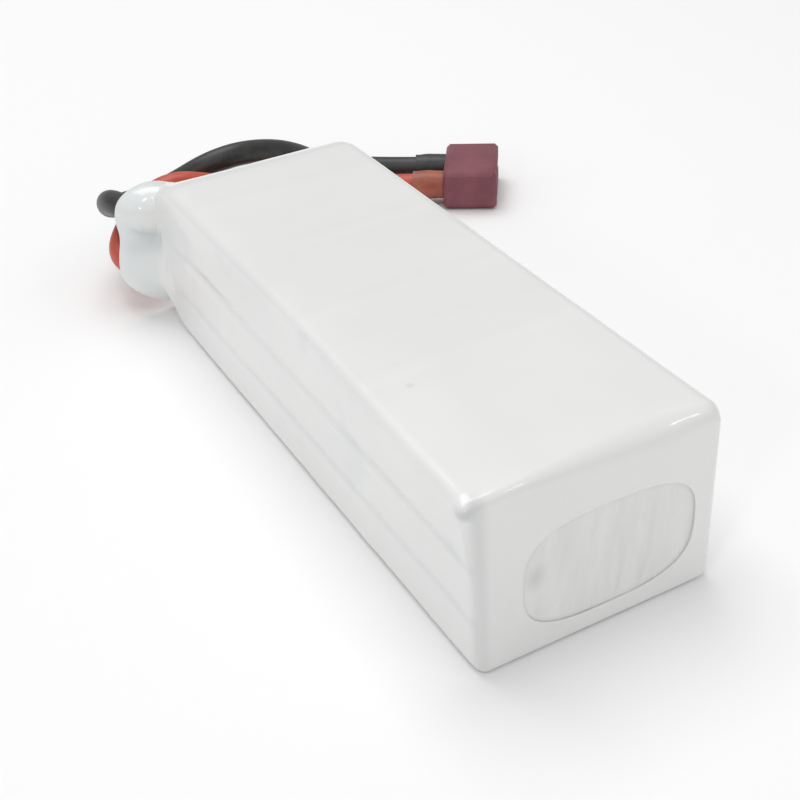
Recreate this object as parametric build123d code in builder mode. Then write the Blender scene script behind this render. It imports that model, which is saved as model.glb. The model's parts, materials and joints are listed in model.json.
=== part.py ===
"""Three-cell lithium polymer flight pack in a white heat-shrink sleeve, with two main leads and a T connector.

Millimetres. +Z up, +Y towards the end that the leads leave, +X to the right seen from the plain end.
Origin: middle of the flat underside of the sleeved block.
"""

import os
from math import cos, radians, sin, tan

from build123d import *

os.makedirs("parts", exist_ok=True)

# --- Driving dimensions -------------------------------------------------------------------------

# Pouch cells, laid flat in a stack of three
CELL_COUNT = 3
CELL_WIDTH = 35.0
CELL_THICKNESS = 8.5
CELL_POCKET_LENGTH = 95.5
CELL_CORNER = 3.0
CELL_EDGE = 2.2
TERRACE_LENGTH = 3.5
TERRACE_THICKNESS = 0.3
TERRACE_INSET = 1.0
TAB_WIDTH = 8.0
TAB_THICKNESS = 0.2
TAB_SPACING = 19.0
TAB_FILM_LENGTH = 1.0
TAB_FILM_WALL = 0.1
TAB_FILM_MARGIN = 1.0

# Double-sided adhesive pads between the cells
ADHESIVE_THICKNESS = 0.4
ADHESIVE_MARGIN = 3.0

# Filament tape bands round the stack
BAND_THICKNESS = 0.12
BAND_WIDTH = 20.5
BAND_STARTS = (28.0, 68.0)

# Heat-shrink sleeve
SLEEVE_WALL = 0.3
SLEEVE_END_EDGE = 1.8
OPENING_WIDTH = 25.7
OPENING_HEIGHT = 16.1
OPENING_CORNER = 7.2
OPENING_SHIFT_X = 1.3
OPENING_CENTRE_Z = 11.5

# Sections of the boot that closes round the leads. For each: how far past the block it stands on the left
# and on the right, how far it bulges out on the left, and how far it draws in on the right, at the bottom
# and at the top. The bulge lies over the bends of the leads.
BOOT_SECTIONS = (
    (1.6, 1.6, 0.4, 0.3, 0.4, 0.9),
    (4.0, 4.4, 4.2, 1.8, 1.4, 3.1),
    (7.2, 6.6, 5.8, 3.8, 2.8, 5.4),
)
BOOT_CORNER = 5.0

# Plain end: tape over a foam pad
END_TAPE_THICKNESS = 0.5
END_PAD_THICKNESS = 1.0
END_PAD_MARGIN = 1.6

# Lead end: insulating card, connection board, solder
CARD_THICKNESS = 0.4
BOARD_THICKNESS = 1.2
BOARD_SIDE_MARGIN = 1.5
BOARD_TOP_MARGIN = 1.9
BOARD_CORNER = 1.5
TAB_PROUD = 0.6
SOLDER_MARGIN = 0.7
SOLDER_HEIGHT = 0.9

# Foam patch over the board
COVER_THICKNESS = 0.8
COVER_LEFT_X = -12.5
COVER_MARGIN = 0.8
COVER_GAP = 0.3

# Main leads, 12 AWG with silicone insulation
LEAD_DIAMETER = 4.5
STRAND_DIAMETER = 2.9
STRIPPED_LENGTH = 5.5
LEAD_START_X = -2.0
LEAD_SOLDER_MARGIN = 0.9

# T connector
PLUG_LENGTH = 10.7
PLUG_WIDTH = 15.8
PLUG_THICKNESS = 7.8
PLUG_EDGE = 0.7
PLUG_YAW = -33.8
PLUG_REAR_X = 48.5
PLUG_REAR_Y = 69.8
BLADE_PITCH = 8.4
BLADE_WIDTH = 6.4
BLADE_THICKNESS = 1.0
SLOT_DEPTH = 9.2
SLOT_SPARE = 1.3
SOLDER_TAB_LENGTH = 4.6
SOLDER_TAB_WIDTH = 3.4
SPRING_THICKNESS = 0.25
SPRING_WIDTH = 4.6
SPRING_LENGTH = 7.0
SPRING_BOW = 0.7
PLUG_SLEEVE_LENGTH = 6.2
PLUG_SLEEVE_WALL = 0.5
LEAD_INSIDE_SLEEVE = 1.6

# Clearances
FIT = 0.03
PIECE_GAP = 0.1
SLEEVE_FIT = 0.1
SLOT_FIT = 0.15

# --- Derived sizes ------------------------------------------------------------------------------

CELL_PITCH = CELL_THICKNESS + ADHESIVE_THICKNESS
STACK_HEIGHT = CELL_COUNT * CELL_THICKNESS + (CELL_COUNT - 1) * ADHESIVE_THICKNESS
INNER_WIDTH = CELL_WIDTH + 2 * (BAND_THICKNESS + 2 * FIT)
INNER_HEIGHT = STACK_HEIGHT + 2 * (BAND_THICKNESS + 2 * FIT)
SLEEVE_WIDTH = INNER_WIDTH + 2 * SLEEVE_WALL
SLEEVE_HEIGHT = INNER_HEIGHT + 2 * SLEEVE_WALL
BAND_CORNER = CELL_EDGE + FIT + BAND_THICKNESS
SLEEVE_CORNER = BAND_CORNER + FIT + SLEEVE_WALL

PLAIN_END_DEPTH = SLEEVE_WALL + FIT + END_TAPE_THICKNESS + END_PAD_THICKNESS
CELL_LENGTH = CELL_POCKET_LENGTH + TERRACE_LENGTH + TAB_FILM_LENGTH
BLOCK_LENGTH = PLAIN_END_DEPTH + CELL_LENGTH + PIECE_GAP

PLAIN_END_Y = -BLOCK_LENGTH / 2
TAPE_Y = PLAIN_END_Y + SLEEVE_WALL + FIT
PAD_Y = TAPE_Y + END_TAPE_THICKNESS
CELL_Y = PAD_Y + END_PAD_THICKNESS
TERRACE_Y = CELL_Y + CELL_POCKET_LENGTH
TAB_Y = TERRACE_Y + TERRACE_LENGTH
CARD_Y = TAB_Y + TAB_FILM_LENGTH + PIECE_GAP
BOARD_Y = CARD_Y + CARD_THICKNESS
BOARD_FACE_Y = BOARD_Y + BOARD_THICKNESS
BLOCK_END_Y = CARD_Y

STACK_BASE_Z = SLEEVE_WALL + 2 * FIT + BAND_THICKNESS
CENTRE_Z = SLEEVE_HEIGHT / 2
BOARD_WIDTH = CELL_WIDTH - 2 * BOARD_SIDE_MARGIN
BOARD_HEIGHT = STACK_HEIGHT - 2 * BOARD_TOP_MARGIN


def cell_centre_z(index):
    return STACK_BASE_Z + CELL_THICKNESS / 2 + index * CELL_PITCH


def gap_centre_z(index):
    """Middle of the gap between a cell and the one above it."""
    return cell_centre_z(index) + CELL_PITCH / 2


def tab_x(index, side):
    """Cells alternate, so that each positive tab stands over its neighbour's negative one."""
    return side * TAB_SPACING / 2 * (1 if index % 2 == 0 else -1)


def across(y):
    """Plane across the pack at y, with its own x along X and its own y along Z."""
    return Plane.XZ.offset(-y)


def boot_edges(bulge, draw_right, draw_bottom, draw_top):
    """Outer left, right, bottom and top of a boot section."""
    left = -SLEEVE_WIDTH / 2 - bulge
    right = SLEEVE_WIDTH / 2 - draw_right
    return left, right, draw_bottom, SLEEVE_HEIGHT - draw_top


def finish_piece(builder, name):
    builder.part.label = name
    export_step(builder.part, f"parts/{name}.step")


# --- Cells --------------------------------------------------------------------------------------


def make_cell(index):
    """A pouch: a rounded pocket, and the flat sealed terrace that its tabs leave through."""
    middle = cell_centre_z(index)
    pocket_middle_y = CELL_Y + CELL_POCKET_LENGTH / 2
    with BuildPart() as pouch:
        with BuildSketch(Plane.XY.offset(middle - CELL_THICKNESS / 2)):
            with Locations((0, pocket_middle_y)):
                RectangleRounded(CELL_WIDTH, CELL_POCKET_LENGTH, CELL_CORNER)
        extrude(amount=CELL_THICKNESS)
        rims = pouch.faces().filter_by(Axis.Z).edges()
        fillet(rims, radius=CELL_EDGE)
        with BuildSketch(Plane.XY.offset(middle - TERRACE_THICKNESS / 2)):
            with Locations((0, TERRACE_Y)):
                Rectangle(CELL_WIDTH - 2 * CELL_CORNER, 2 * TERRACE_LENGTH)
        extrude(amount=TERRACE_THICKNESS)
    finish_piece(pouch, f"cell_{index + 1}")


def make_tab(index, side, name):
    length = BOARD_FACE_Y + TAB_PROUD - TAB_Y
    with BuildPart() as tab:
        with BuildSketch(Plane.XY.offset(cell_centre_z(index) - TAB_THICKNESS / 2)):
            with Locations((tab_x(index, side), TAB_Y + length / 2)):
                Rectangle(TAB_WIDTH, length)
        extrude(amount=TAB_THICKNESS)
    finish_piece(tab, name)


for cell_index in range(CELL_COUNT):
    make_cell(cell_index)
    make_tab(cell_index, -1, f"cell_{cell_index + 1}_positive_tab")
    make_tab(cell_index, 1, f"cell_{cell_index + 1}_negative_tab")

tab_places = [(tab_x(index, side), cell_centre_z(index)) for index in range(CELL_COUNT) for side in (-1, 1)]

# Heat-bonded film collars where the tabs leave the terraces
with BuildPart() as tab_films:
    with BuildSketch(across(TAB_Y)):
        with Locations(*tab_places):
            Rectangle(TAB_WIDTH + 2 * TAB_FILM_MARGIN, TAB_THICKNESS + 2 * (TAB_FILM_WALL + FIT))
            Rectangle(TAB_WIDTH + 2 * FIT, TAB_THICKNESS + 2 * FIT, mode=Mode.SUBTRACT)
    extrude(amount=-TAB_FILM_LENGTH)
finish_piece(tab_films, "tab_films")


def make_adhesive(index, name):
    with BuildPart() as pad:
        with BuildSketch(Plane.XY.offset(gap_centre_z(index) - ADHESIVE_THICKNESS / 2)):
            with Locations((0, CELL_Y + CELL_POCKET_LENGTH / 2)):
                Rectangle(CELL_WIDTH - 2 * ADHESIVE_MARGIN, CELL_POCKET_LENGTH - 2 * ADHESIVE_MARGIN)
        extrude(amount=ADHESIVE_THICKNESS)
    finish_piece(pad, name)


make_adhesive(0, "lower_adhesive_pad")
make_adhesive(1, "upper_adhesive_pad")

# --- Tape bands, end pad and end tape -----------------------------------------------------------


def make_band(start, name):
    with BuildPart() as band:
        with BuildSketch(across(PLAIN_END_Y + start)):
            with Locations((0, CENTRE_Z)):
                RectangleRounded(
                    CELL_WIDTH + 2 * (BAND_THICKNESS + FIT),
                    STACK_HEIGHT + 2 * (BAND_THICKNESS + FIT),
                    BAND_CORNER,
                )
                RectangleRounded(
                    CELL_WIDTH + 2 * FIT,
                    STACK_HEIGHT + 2 * FIT,
                    BAND_CORNER - BAND_THICKNESS,
                    mode=Mode.SUBTRACT,
                )
        extrude(amount=-BAND_WIDTH)
    finish_piece(band, name)


make_band(BAND_STARTS[0], "plain_end_tape_band")
make_band(BAND_STARTS[1], "lead_end_tape_band")

with BuildPart() as end_tape:
    with BuildSketch(across(TAPE_Y)):
        with Locations((0, CENTRE_Z)):
            RectangleRounded(
                CELL_WIDTH - 2 * END_PAD_MARGIN, STACK_HEIGHT - 2 * END_PAD_MARGIN, CELL_CORNER
            )
    extrude(amount=-END_TAPE_THICKNESS)
finish_piece(end_tape, "end_tape")

with BuildPart() as end_pad:
    with BuildSketch(across(PAD_Y)):
        with Locations((0, CENTRE_Z)):
            RectangleRounded(
                CELL_WIDTH - 2 * END_PAD_MARGIN, STACK_HEIGHT - 2 * END_PAD_MARGIN, CELL_CORNER
            )
    extrude(amount=-END_PAD_THICKNESS)
finish_piece(end_pad, "end_foam_pad")

# --- Lead end: card, board, solder --------------------------------------------------------------


def make_slotted_sheet(start_y, thickness, name):
    with BuildPart() as sheet:
        with BuildSketch(across(start_y)):
            with Locations((0, CENTRE_Z)):
                RectangleRounded(BOARD_WIDTH, BOARD_HEIGHT, BOARD_CORNER)
            with Locations(*tab_places):
                Rectangle(TAB_WIDTH + 2 * SLOT_FIT, TAB_THICKNESS + 2 * SLOT_FIT, mode=Mode.SUBTRACT)
        extrude(amount=-thickness)
    finish_piece(sheet, name)


make_slotted_sheet(CARD_Y, CARD_THICKNESS, "insulating_card")
make_slotted_sheet(BOARD_Y, BOARD_THICKNESS, "connection_board")

with BuildPart() as tab_solder:
    with BuildSketch(across(BOARD_FACE_Y)):
        with Locations(*tab_places):
            Rectangle(TAB_WIDTH + 2 * SOLDER_MARGIN, TAB_THICKNESS + 2 * SOLDER_MARGIN)
            Rectangle(TAB_WIDTH + 2 * FIT, TAB_THICKNESS + 2 * FIT, mode=Mode.SUBTRACT)
    extrude(amount=-SOLDER_HEIGHT)
finish_piece(tab_solder, "tab_solder_joints")

# The leads lie flat on the board, in the two gaps between its three rows of tab joints.
LEAD_START_Y = BOARD_FACE_Y + PIECE_GAP + LEAD_DIAMETER / 2
RED_START_Z = gap_centre_z(0)
BLACK_START_Z = gap_centre_z(1)


def make_board_joint(start_z, colour):
    """The stripped strands lie on the board inside their solder, both flat where they meet it."""
    strand_plane = Plane.YZ.offset(LEAD_START_X)
    solder_width = STRAND_DIAMETER + 2 * LEAD_SOLDER_MARGIN
    solder_top = LEAD_START_Y + STRAND_DIAMETER / 2 + LEAD_SOLDER_MARGIN / 2
    with BuildPart() as strands:
        with BuildSketch(strand_plane):
            with Locations((LEAD_START_Y, start_z)):
                Circle(STRAND_DIAMETER / 2)
        extrude(amount=STRIPPED_LENGTH)
    finish_piece(strands, f"{colour}_lead_board_strands")

    with BuildPart() as solder:
        with BuildSketch(strand_plane.offset(PIECE_GAP)):
            with Locations(((BOARD_FACE_Y + solder_top) / 2, start_z)):
                Rectangle(solder_top - BOARD_FACE_Y, solder_width)
        extrude(amount=STRIPPED_LENGTH + LEAD_SOLDER_MARGIN)
        outer = solder.faces().sort_by(Axis.Y)[-1].edges()
        fillet(outer, radius=LEAD_SOLDER_MARGIN / 2)
        with BuildSketch(strand_plane):
            with Locations((LEAD_START_Y, start_z)):
                Circle(STRAND_DIAMETER / 2)
        extrude(amount=STRIPPED_LENGTH, mode=Mode.SUBTRACT)
    finish_piece(solder, f"{colour}_lead_board_solder")


make_board_joint(RED_START_Z, "red")
make_board_joint(BLACK_START_Z, "black")

# Foam patch over the joints, between the board and the sleeve's mouth
COVER_Y = LEAD_START_Y + LEAD_DIAMETER / 2 + COVER_GAP
mouth_left, mouth_right, mouth_bottom, mouth_top = boot_edges(*BOOT_SECTIONS[-1][2:])
cover_right = mouth_right - SLEEVE_WALL - 2 * COVER_MARGIN
with BuildPart() as cover_pad:
    with BuildSketch(across(COVER_Y)):
        with Locations(((COVER_LEFT_X + cover_right) / 2, (mouth_bottom + mouth_top) / 2)):
            RectangleRounded(
                cover_right - COVER_LEFT_X,
                mouth_top - mouth_bottom - 2 * (SLEEVE_WALL + COVER_MARGIN),
                BOARD_CORNER,
            )
    extrude(amount=-COVER_THICKNESS)
finish_piece(cover_pad, "board_cover_pad")

# --- Heat-shrink sleeve -------------------------------------------------------------------------


def boot_plane(left_step, right_step, left, right):
    slant = Vector(right - left, right_step - left_step, 0)
    middle = Vector((left + right) / 2, BLOCK_END_Y + (left_step + right_step) / 2, 0)
    return Plane(origin=middle, x_dir=slant, z_dir=slant.cross(Vector(0, 0, 1)))


def boot_sections(inset):
    """Sketches from the block's end to the rim, all drawn in by the inset."""
    with BuildSketch(across(BLOCK_END_Y)) as first:
        with Locations((0, CENTRE_Z)):
            RectangleRounded(SLEEVE_WIDTH - 2 * inset, SLEEVE_HEIGHT - 2 * inset, SLEEVE_CORNER - inset)
    sketches = [first.sketch]
    for left_step, right_step, *draws in BOOT_SECTIONS:
        left, right, bottom, top = boot_edges(*draws)
        plane = boot_plane(left_step, right_step, left, right)
        with BuildSketch(plane) as section:
            with Locations((0, (bottom + top) / 2)):
                RectangleRounded(right - left - 2 * inset, top - bottom - 2 * inset, BOOT_CORNER - inset)
        sketches.append(section.sketch)
    return sketches


outer_boot = boot_sections(0)
inner_boot = boot_sections(SLEEVE_WALL)

with BuildPart() as sleeve:
    with BuildSketch(across(PLAIN_END_Y)):
        with Locations((0, CENTRE_Z)):
            RectangleRounded(SLEEVE_WIDTH, SLEEVE_HEIGHT, SLEEVE_CORNER)
    extrude(amount=PLAIN_END_Y - BLOCK_END_Y)
    fillet(sleeve.faces().sort_by(Axis.Y)[0].edges(), radius=SLEEVE_END_EDGE)
    loft(sections=outer_boot)
with BuildPart() as sleeve_core:
    with BuildSketch(across(PLAIN_END_Y + SLEEVE_WALL)):
        with Locations((0, CENTRE_Z)):
            RectangleRounded(INNER_WIDTH, INNER_HEIGHT, SLEEVE_CORNER - SLEEVE_WALL)
    extrude(amount=PLAIN_END_Y + SLEEVE_WALL - BLOCK_END_Y)
    fillet(sleeve_core.faces().sort_by(Axis.Y)[0].edges(), radius=SLEEVE_END_EDGE - SLEEVE_WALL)
    loft(sections=inner_boot)
with BuildPart() as heatshrink_sleeve:
    add(sleeve.part)
    add(sleeve_core.part, mode=Mode.SUBTRACT)
    with BuildSketch(across(PLAIN_END_Y)):
        with Locations((OPENING_SHIFT_X, OPENING_CENTRE_Z)):
            RectangleRounded(OPENING_WIDTH, OPENING_HEIGHT, OPENING_CORNER)
    extrude(amount=-2 * SLEEVE_WALL, mode=Mode.SUBTRACT)
finish_piece(heatshrink_sleeve, "heatshrink_sleeve")

# --- T connector --------------------------------------------------------------------------------

# Its own frame: x from the rear face, where the leads enter, to the mating face; y across; z up.
PLUG_AXIS = Vector(cos(radians(PLUG_YAW)), sin(radians(PLUG_YAW)), 0)
PLUG_ACROSS = Vector(-sin(radians(PLUG_YAW)), cos(radians(PLUG_YAW)), 0)
PLUG_REAR = Vector(PLUG_REAR_X, PLUG_REAR_Y, PLUG_THICKNESS / 2)
SLOT_WIDTH = BLADE_WIDTH + 2 * SLOT_FIT
SLOT_HEIGHT = BLADE_THICKNESS + SLOT_SPARE
CONTACT_LENGTH = SLOT_DEPTH - PIECE_GAP

# Side across the connector, and whether the blade stands upright: together the two slots make a T.
CONTACTS = (("red", -1, True), ("black", 1, False))


def plug_face(x):
    """Plane across the connector at x from its rear face, its own x across and its own y up."""
    return Plane(origin=PLUG_REAR + PLUG_AXIS * x, x_dir=PLUG_ACROSS, z_dir=PLUG_AXIS)


def slot_size(upright, width, height):
    return (height, width) if upright else (width, height)


def contact_offset(side, upright, shift):
    """Centre of something shifted from the middle of a slot, through the slot's thickness."""
    across_shift = side * BLADE_PITCH / 2
    return (across_shift + shift, 0) if upright else (across_shift, shift)


with BuildPart() as plug_housing:
    with BuildSketch(plug_face(0)):
        Rectangle(PLUG_WIDTH, PLUG_THICKNESS)
    extrude(amount=PLUG_LENGTH)
    chamfer(plug_housing.edges(), length=PLUG_EDGE)
    for colour, side, upright in CONTACTS:
        with BuildSketch(plug_face(PLUG_LENGTH)):
            with Locations(contact_offset(side, upright, 0)):
                Rectangle(*slot_size(upright, SLOT_WIDTH, SLOT_HEIGHT))
        extrude(amount=-SLOT_DEPTH, mode=Mode.SUBTRACT)
        tab_shift = -(SLOT_HEIGHT - BLADE_THICKNESS) / 2
        with BuildSketch(plug_face(0)):
            with Locations(contact_offset(side, upright, tab_shift)):
                Rectangle(*slot_size(upright, SOLDER_TAB_WIDTH + 2 * FIT, BLADE_THICKNESS + 2 * FIT))
        extrude(amount=PLUG_LENGTH - SLOT_DEPTH, mode=Mode.SUBTRACT)
finish_piece(plug_housing, "plug_housing")


def make_contact(colour, side, upright):
    """A flat blade against one wall of its slot, and its narrower solder tab behind the housing."""
    shift = -(SLOT_HEIGHT - BLADE_THICKNESS) / 2
    place = contact_offset(side, upright, shift)
    with BuildPart() as contact:
        with BuildSketch(plug_face(PLUG_LENGTH - PIECE_GAP)):
            with Locations(place):
                Rectangle(*slot_size(upright, BLADE_WIDTH, BLADE_THICKNESS))
        extrude(amount=-(CONTACT_LENGTH - PIECE_GAP))
        with BuildSketch(plug_face(-SOLDER_TAB_LENGTH)):
            with Locations(place):
                Rectangle(*slot_size(upright, SOLDER_TAB_WIDTH, BLADE_THICKNESS))
        extrude(amount=SOLDER_TAB_LENGTH + PLUG_LENGTH - SLOT_DEPTH + PIECE_GAP)
    finish_piece(contact, f"{colour}_plug_contact")


def make_spring(colour, side, upright):
    """A bowed leaf that presses a mating blade on the contact."""
    wall = SLOT_HEIGHT / 2 - PIECE_GAP
    start_x = PLUG_LENGTH - PIECE_GAP - (SLOT_DEPTH - SPRING_LENGTH) / 2
    centre = PLUG_REAR + PLUG_ACROSS * (side * BLADE_PITCH / 2)
    through = PLUG_ACROSS if upright else Vector(0, 0, 1)
    along_width = Vector(0, 0, 1) if upright else PLUG_ACROSS
    origin = centre + PLUG_AXIS * start_x + through * wall - along_width * SPRING_WIDTH / 2
    leaf_plane = Plane(origin=origin, x_dir=PLUG_AXIS, z_dir=PLUG_AXIS.cross(through))
    toward_width = leaf_plane.z_dir.dot(along_width)
    with BuildPart() as spring:
        with BuildSketch(leaf_plane):
            with BuildLine():
                outer_leaf = ThreePointArc((0, 0), (-SPRING_LENGTH / 2, -SPRING_BOW), (-SPRING_LENGTH, 0))
                inner_leaf = ThreePointArc(
                    (0, -SPRING_THICKNESS),
                    (-SPRING_LENGTH / 2, -SPRING_BOW - SPRING_THICKNESS),
                    (-SPRING_LENGTH, -SPRING_THICKNESS),
                )
                Line(outer_leaf @ 0, inner_leaf @ 0)
                Line(outer_leaf @ 1, inner_leaf @ 1)
            make_face()
        extrude(amount=SPRING_WIDTH * toward_width)
    finish_piece(spring, f"{colour}_plug_spring")


def plug_lead_centre(side, distance):
    """Where a lead's axis is at a distance behind the rear face."""
    return PLUG_REAR + PLUG_ACROSS * (side * BLADE_PITCH / 2) - PLUG_AXIS * distance


SLEEVE_BORE = LEAD_DIAMETER + 2 * SLEEVE_FIT
LEAD_STOP = PLUG_SLEEVE_LENGTH + PIECE_GAP - LEAD_INSIDE_SLEEVE
TAB_TOP = -(SLOT_HEIGHT - BLADE_THICKNESS) / 2 + BLADE_THICKNESS / 2


def make_plug_joint(colour, side, upright):
    """Stripped strands soldered on the tab, under a short heat-shrink sleeve."""
    lead_place = contact_offset(side, upright, 0)
    tab_place = contact_offset(side, upright, TAB_TOP - STRAND_DIAMETER / 2)
    with BuildPart() as strands:
        with BuildSketch(plug_face(-LEAD_STOP)):
            with Locations(lead_place):
                Circle(STRAND_DIAMETER / 2)
            with Locations(tab_place):
                Rectangle(*slot_size(upright, 2 * STRAND_DIAMETER, STRAND_DIAMETER), mode=Mode.SUBTRACT)
        extrude(amount=LEAD_STOP - PIECE_GAP)
    finish_piece(strands, f"{colour}_lead_plug_strands")

    with BuildPart() as shrink:
        with BuildSketch(plug_face(-PIECE_GAP)):
            with Locations(lead_place):
                Circle(SLEEVE_BORE / 2 + PLUG_SLEEVE_WALL)
                Circle(SLEEVE_BORE / 2, mode=Mode.SUBTRACT)
        extrude(amount=-PLUG_SLEEVE_LENGTH)
    finish_piece(shrink, f"{colour}_plug_sleeve")


for contact_colour, contact_side, contact_upright in CONTACTS:
    make_contact(contact_colour, contact_side, contact_upright)
    make_spring(contact_colour, contact_side, contact_upright)
    make_plug_joint(contact_colour, contact_side, contact_upright)

# --- Main leads ---------------------------------------------------------------------------------

# Each leaves its board joint to the left, turns back round the sleeve's left side and crosses behind the
# pack's end, down to the surface that the pack lies on and along it into the connector.
RED_ROUTE = (
    (-14.0, 54.9, 9.2),
    (-20.0, 57.8, 8.4),
    (-22.9, 65.6, 8.4),
    (-17.8, 72.0, 11.6),
    (-10.2, 71.4, 17.6),
    (0.5, 70.6, 14.2),
    (13.0, 73.6, 8.2),
    (24.5, 77.2, 3.8),
)
BLACK_ROUTE = (
    (-13.2, 54.9, 18.1),
    (-18.8, 58.6, 18.0),
    (-22.0, 68.0, 18.6),
    (-19.2, 79.0, 11.6),
    (-8.5, 81.0, 11.2),
    (3.0, 75.6, 18.0),
    (16.5, 78.4, 15.0),
    (28.5, 85.6, 5.6),
)
RUN_SHARE = 0.45
LAST_RUN = 9.0


def lead_points(route, start_z, side):
    start = Vector(LEAD_START_X, LEAD_START_Y, start_z)
    entry = plug_lead_centre(side, LEAD_STOP)
    return [start] + [Vector(*point) for point in route] + [entry - PLUG_AXIS * LAST_RUN, entry]


def corner_radii(points):
    """Each arc takes the same share of the shorter of its two runs."""
    radii = []
    for before, corner, after in zip(points, points[1:], points[2:]):
        arriving = corner - before
        leaving = after - corner
        turn = radians(arriving.get_angle(leaving))
        radii.append(RUN_SHARE * min(arriving.length, leaving.length) / tan(turn / 2))
    return radii


def make_lead(route, start_z, side, name):
    points = lead_points(route, start_z, side)
    radii = corner_radii(points)
    with BuildPart() as lead:
        with BuildLine() as path:
            FilletPolyline(*points, radius=radii)
        with BuildSketch(Plane(origin=path.line @ 0, z_dir=path.line % 0)):
            Circle(LEAD_DIAMETER / 2)
        sweep(path=path.line)
    finish_piece(lead, name)
    length = path.wire().length
    section = Circle(LEAD_DIAMETER / 2, mode=Mode.PRIVATE).area
    print(name, "length", round(length, 1), "radii", [round(radius, 1) for radius in radii])
    print(name, "volume over section times length", round(lead.part.volume / (section * length), 4))


make_lead(RED_ROUTE, RED_START_Z, -1, "red_lead")
make_lead(BLACK_ROUTE, BLACK_START_Z, 1, "black_lead")
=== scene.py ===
"""Three-cell flight pack: white heat-shrink sleeve, wrinkled end tape, silicone leads and a T connector.

Metres, in the CAD model's frame: +Z up, +Y towards the end that the leads leave. The block stands on z = 0.
"""
import json
from math import cos, pi, radians, sin

import bpy
import numpy as np
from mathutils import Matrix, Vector, noise


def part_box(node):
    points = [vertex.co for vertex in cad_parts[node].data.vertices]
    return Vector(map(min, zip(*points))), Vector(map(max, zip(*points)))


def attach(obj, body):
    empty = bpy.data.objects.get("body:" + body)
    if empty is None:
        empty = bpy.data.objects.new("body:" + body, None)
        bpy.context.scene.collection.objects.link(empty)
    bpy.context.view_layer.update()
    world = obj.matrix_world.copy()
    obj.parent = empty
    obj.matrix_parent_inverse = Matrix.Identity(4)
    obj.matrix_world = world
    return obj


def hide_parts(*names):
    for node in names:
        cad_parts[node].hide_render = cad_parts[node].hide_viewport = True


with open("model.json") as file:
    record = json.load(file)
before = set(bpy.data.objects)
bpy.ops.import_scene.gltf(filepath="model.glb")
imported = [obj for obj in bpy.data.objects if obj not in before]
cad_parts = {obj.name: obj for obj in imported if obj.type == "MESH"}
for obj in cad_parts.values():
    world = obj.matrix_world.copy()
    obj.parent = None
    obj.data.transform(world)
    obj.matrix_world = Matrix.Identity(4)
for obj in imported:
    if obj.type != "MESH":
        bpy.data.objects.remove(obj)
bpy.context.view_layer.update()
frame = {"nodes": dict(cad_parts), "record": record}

MM = 0.001

# --- Camera -------------------------------------------------------------------------------------

camera_data = bpy.data.cameras.new("camera")
camera_data.lens = 59.68
camera_data.sensor_width = 36.0
camera_data.clip_start = 0.005
camera_data.clip_end = 20.0
camera = bpy.data.objects.new("camera", camera_data)
camera.location = (-0.07616, -0.14983, 0.11828)
camera.rotation_euler = (radians(56.095), radians(2.983), radians(-28.807))
bpy.context.scene.collection.objects.link(camera)
bpy.context.scene.camera = camera

# --- Modelling helpers --------------------------------------------------------------------------


def deselect_everything():
    bpy.ops.object.select_all(action="DESELECT")


def make_active(piece):
    deselect_everything()
    piece.select_set(True)
    bpy.context.view_layer.objects.active = piece


def apply_modifiers(piece):
    make_active(piece)
    for modifier in list(piece.modifiers):
        bpy.ops.object.modifier_apply(modifier=modifier.name)


def settle(piece, smooth_angle):
    """Puts the piece's place into its mesh, and shades it smooth up to that angle."""
    make_active(piece)
    bpy.ops.object.transform_apply(location=True, rotation=True, scale=True)
    bpy.ops.object.shade_smooth_by_angle(angle=radians(smooth_angle))


def give_wall(piece, thickness):
    """Gives a sheet its thickness in millimetres, inwards from the side that it was laid on."""
    wall = piece.modifiers.new("wall", "SOLIDIFY")
    wall.thickness = thickness * MM
    wall.offset = -1.0
    apply_modifiers(piece)


def vertex_places(piece):
    places = np.empty(len(piece.data.vertices) * 3)
    piece.data.vertices.foreach_get("co", places)
    return places.reshape(-1, 3)


def move_vertices(piece, places):
    piece.data.vertices.foreach_set("co", np.asarray(places, dtype=float).ravel())
    piece.data.update()


def bump(distance, width):
    """A soft hump of height 1 that fades over the width."""
    return np.exp(-((distance / width) ** 2))


def smooth_step(value, low, high):
    """0 below low, 1 above high, and smooth between them."""
    share = np.clip((value - low) / (high - low), 0.0, 1.0)
    return share * share * (3.0 - 2.0 * share)


# --- Shader helpers -----------------------------------------------------------------------------


class Value:
    """A number socket of a material, on which sums are written with the usual signs."""

    def __init__(self, finish, socket):
        self.finish = finish
        self.socket = socket

    def math(self, operation, first, second=None):
        inputs = {"Value": first}
        if second is not None:
            inputs["Value_001"] = second
        return self.finish.node("ShaderNodeMath", {"operation": operation}, inputs).value()

    def __add__(self, other):
        return self.math("ADD", self, other)

    def __radd__(self, other):
        return self.math("ADD", other, self)

    def __sub__(self, other):
        return self.math("SUBTRACT", self, other)

    def __rsub__(self, other):
        return self.math("SUBTRACT", other, self)

    def __mul__(self, other):
        return self.math("MULTIPLY", self, other)

    def __rmul__(self, other):
        return self.math("MULTIPLY", other, self)

    def absolute(self):
        return self.math("ABSOLUTE", self)

    def sine(self):
        return self.math("SINE", self)

    def most(self, other):
        return self.math("MAXIMUM", self, other)

    def step(self, low, high):
        """0 at low, 1 at high, and smooth between them."""
        settings = {"interpolation_type": "SMOOTHSTEP"}
        inputs = {"Value": self, "From Min": low, "From Max": high}
        return self.finish.node("ShaderNodeMapRange", settings, inputs).value("Result")

    def near(self, centre, width):
        """1 at the centre, fading smoothly to 0 at the width."""
        return 1.0 - (self - centre).absolute().step(0.0, width)


class Made:
    """A new node, whose outputs are read by name."""

    def __init__(self, finish, node):
        self.finish = finish
        self.node = node

    def socket(self, name=None):
        if name is None:
            return self.node.outputs[0]
        return next(socket for socket in self.node.outputs if name in (socket.identifier, socket.name))

    def value(self, name=None):
        return Value(self.finish, self.socket(name))


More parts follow.
